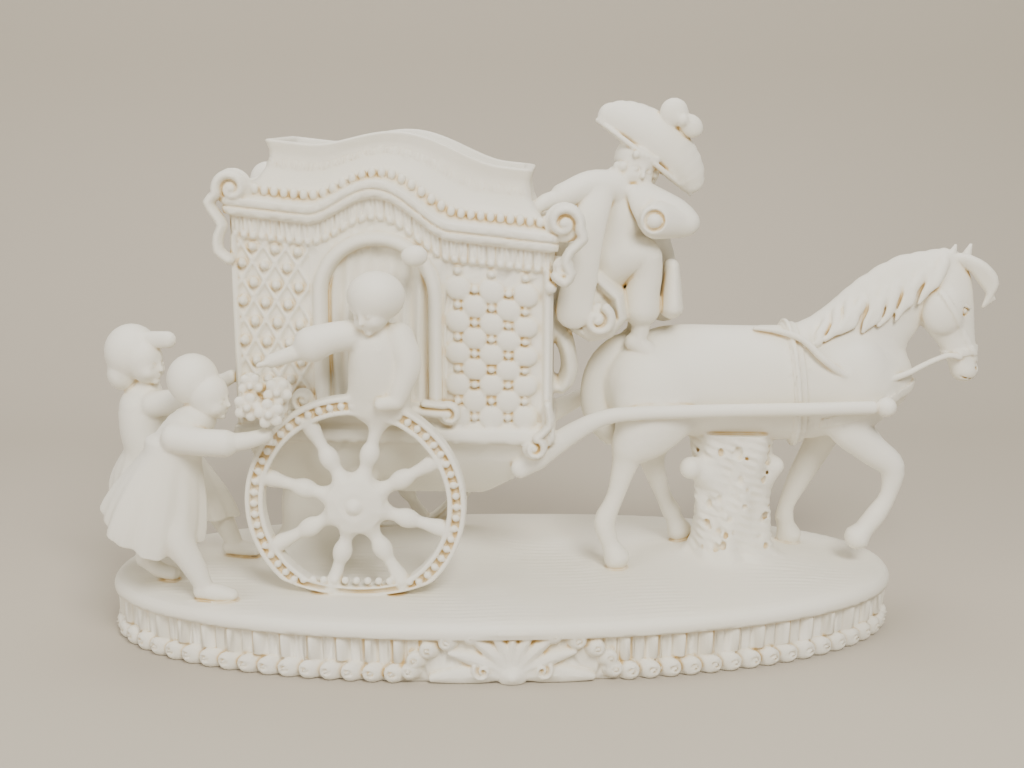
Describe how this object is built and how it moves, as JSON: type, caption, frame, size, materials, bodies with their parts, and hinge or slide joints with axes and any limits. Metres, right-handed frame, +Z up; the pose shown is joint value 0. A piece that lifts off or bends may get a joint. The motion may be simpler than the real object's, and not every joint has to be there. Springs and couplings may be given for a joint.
{
  "type": "ceramic figurine",
  "caption": "Bisque porcelain group on an oval plinth: a pony draws a scrolled coach whose open roof holds flowers, with a driver and children at the window and wheel.",
  "frame": {"origin": "middle of the oval plinth's underside", "axes": "+X along the plinth towards the pony's head, +Y away from the side the group is made to be seen from, +Z up"},
  "size_m": [0.3668, 0.1357, 0.2165],
  "materials": {
    "bisque": "matt unglazed bisque, cream, with ochre stain rubbed into the hollows"
  },
  "bodies": {
    "root": {"plinth": "bisque", "coach": "bisque", "near_wheel": "bisque", "far_wheel": "bisque", "pony": "bisque", "near_shaft": "bisque", "far_shaft": "bisque", "driver": "bisque", "window_child": "bisque", "near_child": "bisque", "far_child": "bisque", "flowers": "bisque"}
  },
  "joints": []
}
